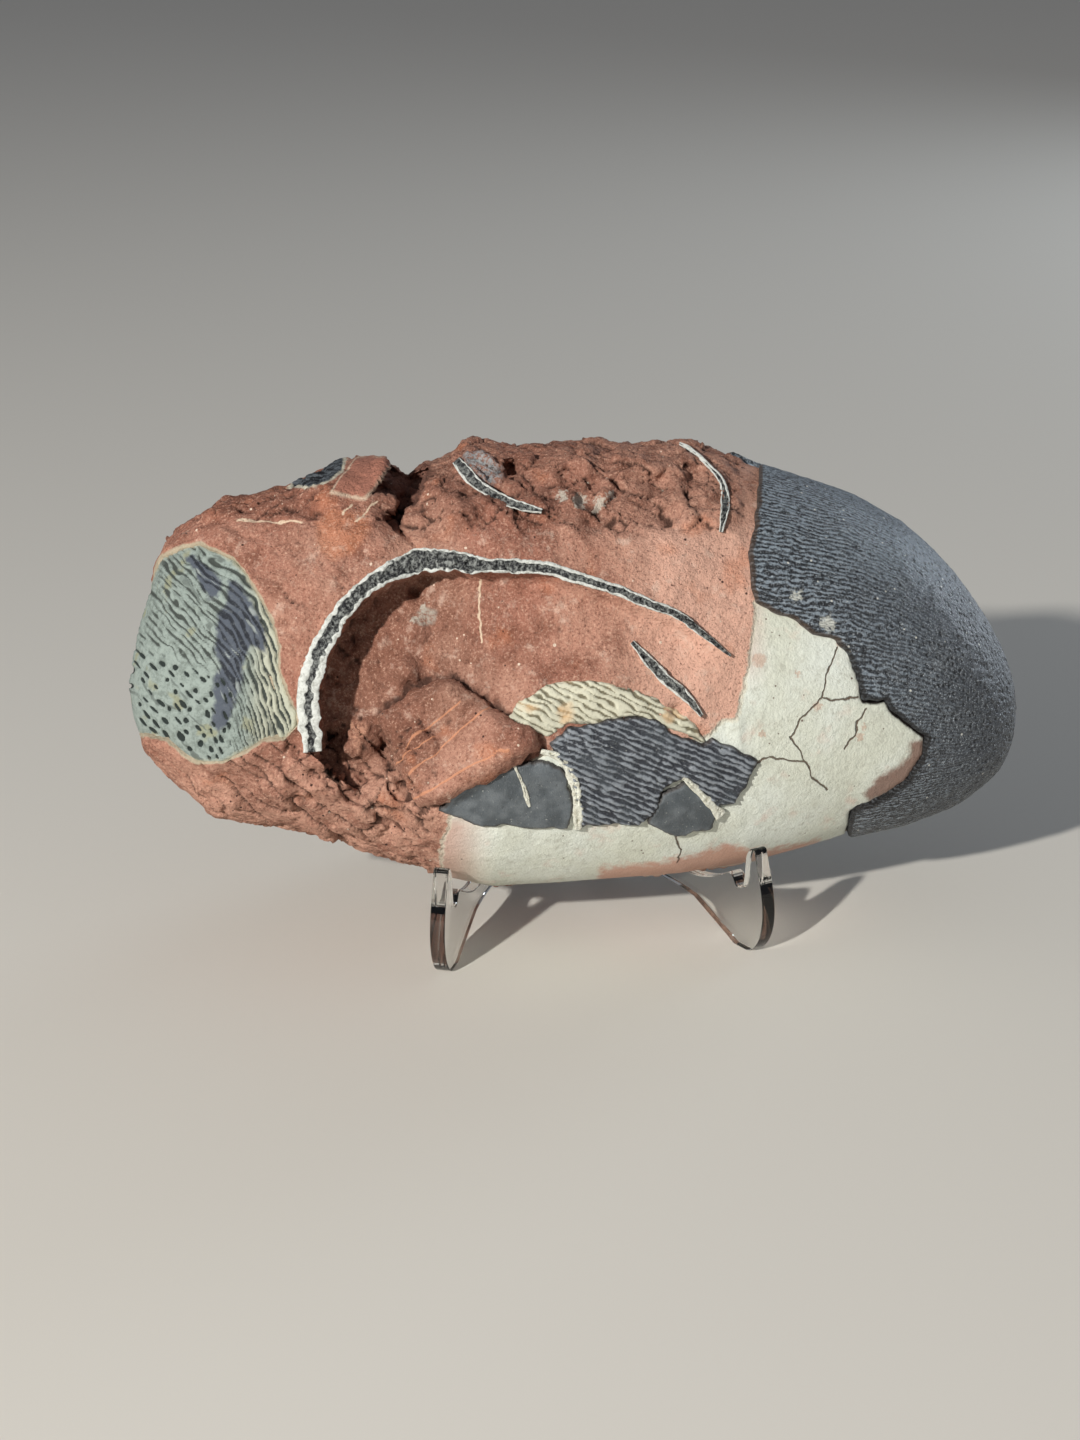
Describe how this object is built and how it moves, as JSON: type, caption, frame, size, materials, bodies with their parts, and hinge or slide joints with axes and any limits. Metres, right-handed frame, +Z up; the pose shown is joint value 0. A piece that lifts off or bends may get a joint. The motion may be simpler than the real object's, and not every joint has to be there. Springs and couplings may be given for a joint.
{
  "type": "fossil dinosaur egg on a stand",
  "caption": "Elongated dinosaur egg in red stone, broken open on one side to show the shell, lying on a clear interlocking stand.",
  "frame": {"origin": "centre of the ground that the object covers, on the surface it stands on", "axes": "+X along the egg's long axis towards its unbroken end, -Y towards the viewer of the broken face, +Z up"},
  "size_m": [0.1808, 0.1002, 0.0979],
  "materials": {
    "fossil_stone": "matte",
    "clear_acrylic": "polished"
  },
  "bodies": {
    "root": {"fossil_egg": "fossil_stone", "stand_leaf_left": "clear_acrylic", "stand_leaf_right": "clear_acrylic"}
  },
  "joints": []
}
